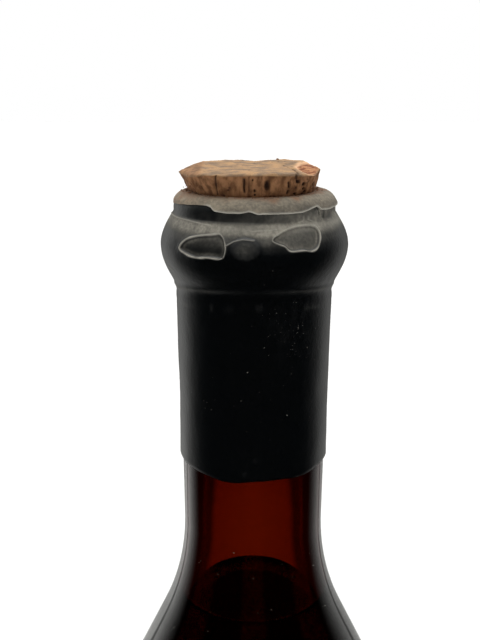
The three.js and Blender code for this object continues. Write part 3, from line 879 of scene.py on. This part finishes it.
# Small grains, each a squashed octahedron at its place, with its size
def grains(name, centres, sizes):
    corners = np.array([(1, 0, 0), (0, 1, 0), (-1, 0, 0), (0, -1, 0), (0, 0, 0.6), (0, 0, -0.6)], float)
    sides = [(0, 1, 4), (1, 2, 4), (2, 3, 4), (3, 0, 4), (1, 0, 5), (2, 1, 5), (3, 2, 5), (0, 3, 5)]
    chance = np.random.default_rng(SEED + 1)
    points, faces = [], []
    for number, (centre, size) in enumerate(zip(centres, sizes)):
        lump = corners * size * chance.uniform(0.6, 1.3, (6, 1))
        points += (lump + centre).tolist()
        faces += [[6 * number + corner for corner in side] for side in sides]
    mesh = bpy.data.meshes.new(name)
    mesh.from_pydata((np.array(points) * MM).tolist(), [], faces)
    return shown(name, mesh)


def cork_crumbs():
    chance = np.random.default_rng(SEED + 2)
    azimuth = chance.uniform(-180, 180, CRUMB_COUNT)
    out = chance.exponential(0.5, CRUMB_COUNT)
    size = chance.uniform(0.07, 0.2, CRUMB_COUNT)
    centres = around(cork_base(azimuth) + 0.25 + np.minimum(out, 1.1), CAP_TOP_Z + size * 0.3, azimuth)
    back_rim = around(np.array([BACK_CRUMB["radius"]]), np.array([CORK_TOP_Z - BACK_CRUMB["drop"]]),
                      np.array([BACK_CRUMB["azimuth"]]))
    return grains("cork_crumbs", np.concatenate([centres, back_rim]), [*size, BACK_CRUMB["size"]])


# Specks of dust on the capsule's neck, some of them in a loose cluster, and on the bare glass
def dust_specks():
    chance = np.random.default_rng(SEED + 3)
    cluster = np.stack([chance.normal(CLUSTER_AZIMUTH, 9, CLUSTER_COUNT),
                        chance.normal(CLUSTER_Z, 3.5, CLUSTER_COUNT),
                        chance.uniform(0.03, 0.09, CLUSTER_COUNT)], axis=1)
    strewn = np.stack([chance.uniform(-180, 180, STREWN_COUNT),
                       chance.uniform(248, 278, STREWN_COUNT),
                       chance.uniform(0.03, 0.08, STREWN_COUNT)], axis=1)
    on_neck = np.concatenate([NECK_SPECKS, cluster, strewn])
    neck_r = np.interp(on_neck[:, 1], [SKIRT_Z, CREASE_Z], [SKIRT_RADIUS, CREASE_RADIUS])
    outline = shoulder_line(0)
    pick = chance.uniform(8, len(outline) - 1, GLASS_SPECK_COUNT)
    r = np.interp(pick, np.arange(len(outline)), outline[:, 0])
    z = np.interp(pick, np.arange(len(outline)), outline[:, 1])
    centres = np.concatenate([around(neck_r, on_neck[:, 1], on_neck[:, 0]),
                              around(r + 0.03, z, chance.uniform(-180, 180, GLASS_SPECK_COUNT))])
    sizes = np.concatenate([on_neck[:, 2], chance.uniform(0.05, 0.13, GLASS_SPECK_COUNT)])
    return grains("dust_specks", centres, sizes)


dress(glass_bottle(), glass_material(), "amber_glass", "glass_body", "glass_neck")
dress(wine_fill(), wine_material(), "red_wine", "wine")
dress(capsule_sleeve(),
      capsule_material("black_skin", (0.001, 0.0026, 0.0042), (0.36, 0.335, 0.28), (0.1, 0.05, 0.03), 0.04),
      "black_capsule", "capsule_sleeve")
dress(capsule_cap(),
      capsule_material("dusty_skin", (0.03, 0.031, 0.033), (0.4, 0.34, 0.25), (0.25, 0.12, 0.06), 0.16),
      "dusty_capsule", "capsule_cap")
dress(cork_plug(), cork_material(), "cork", "cork")
dress(cork_crumbs(), grain_material("crumbs", (0.12, 0.05, 0.025), (0.35, 0.18, 0.09)), "cork")
dress(dust_specks(), grain_material("dust", (0.2, 0.19, 0.17), (0.4, 0.38, 0.34)), "dusty_capsule")

# Floor
floor_mesh = bpy.data.meshes.new("floor")
floor_corners = [(x * FLOOR_HALF, y * FLOOR_HALF, 0) for x, y in ((-1, -1), (1, -1), (1, 1), (-1, 1))]
floor_mesh.from_pydata(floor_corners, [], [(0, 1, 2, 3)])
floor = shown("floor", floor_mesh)
floor_paint, floor_tree, floor_shader = material("pale_floor")
feed(floor_tree, floor_shader.inputs["Base Color"],
     blend(floor_tree, cloud(floor_tree, 300, 3), (0.86, 0.86, 0.86, 1), (0.9, 0.9, 0.9, 1)))
floor_shader.inputs["Roughness"].default_value = 0.9
floor.data.materials.append(floor_paint)
floor.visible_glossy = False
floor.visible_transmission = False

# Soft light from behind and from above, weaker on the right. Smooth surfaces mirror a ring round the back,
# and light through the glass comes in upright strips, so that dark columns stand beside the glow
world = bpy.data.worlds.new("studio")
bpy.context.scene.world = world
world.use_nodes = True
tree = world.node_tree
split = tree.nodes.new("ShaderNodeSeparateXYZ")
tree.links.new(tree.nodes.new("ShaderNodeTexCoord").outputs["Generated"], split.inputs[0])
light_path = tree.nodes.new("ShaderNodeLightPath").outputs
y = split.outputs["Y"]
behind = ranged(tree, y, 0.1, 0.88, 0.0, WORLD_BACK)
mirrored = math_node(tree, "MULTIPLY", ranged(tree, y, 0.15, 0.76, 0.0, MIRROR_RING),
                     ranged(tree, y, 0.68, 0.96, 1.0, OUTLINE_SHARE))
gap = math_node(tree, "ABSOLUTE", math_node(tree, "SUBTRACT", y, MIRROR_LINE))
mirrored = math_node(tree, "MULTIPLY", mirrored, ranged(tree, gap, 0.012, 0.04, 0.35, 1.0))
turn = math_node(tree, "ARCTAN2", split.outputs["X"], y)
strips = math_node(tree, "COSINE", math_node(tree, "MULTIPLY", turn, THROUGH_STRIPS))
through = math_node(tree, "MULTIPLY", ranged(tree, strips, 0.05, 0.6, SIDE_GLOW, WORLD_BACK),
                    ranged(tree, split.outputs["Z"], 0.05, 0.3, 1.0, UPPER_SHARE))
strength = mix_value(tree, light_path["Is Glossy Ray"], behind, mirrored)
to_the_right = ranged(tree, split.outputs["X"], 0.0, 0.6, 1.0, RIGHT_SHARE)
strength = math_node(tree, "MULTIPLY", strength, to_the_right)
above = ranged(tree, split.outputs["Z"], 0.6, 0.95, 0.0, WORLD_TOP)
strength = math_node(tree, "MAXIMUM", strength, above)
strength = mix_value(tree, light_path["Is Transmission Ray"], strength, through)
lit = tree.nodes["Background"]
lit.inputs["Color"].default_value = (1.0, 1.0, 0.97, 1)
feed(tree, lit.inputs["Strength"], strength)
plain = tree.nodes.new("ShaderNodeBackground")
plain.inputs["Color"].default_value = (1.0, 1.0, 1.0, 1)
choose = tree.nodes.new("ShaderNodeMixShader")
tree.links.new(light_path["Is Camera Ray"], choose.inputs[0])
tree.links.new(lit.outputs[0], choose.inputs[1])
tree.links.new(plain.outputs[0], choose.inputs[2])
tree.links.new(choose.outputs[0], tree.nodes["World Output"].inputs["Surface"])

sun = bpy.data.lights.new("sky", "SUN")
sun.energy = SKY_LIGHT
sun.angle = math.radians(SKY_SPREAD)
sun_object = bpy.data.objects.new("sky", sun)
sun_object.rotation_euler = (math.radians(SKY_TILT), 0, 0)
bpy.context.scene.collection.objects.link(sun_object)

camera = bpy.data.cameras.new("camera")
camera.lens = CAMERA_LENS
camera.sensor_width = SENSOR_WIDTH
camera.clip_start = 0.01
camera_object = bpy.data.objects.new("camera", camera)
camera_object.location = [v * MM for v in CAMERA_PLACE]
camera_object.rotation_euler = (math.radians(90 - CAMERA_PITCH), 0, 0)
bpy.context.scene.collection.objects.link(camera_object)
bpy.context.scene.camera = camera_object
bpy.context.scene.view_settings.view_transform = "Standard"
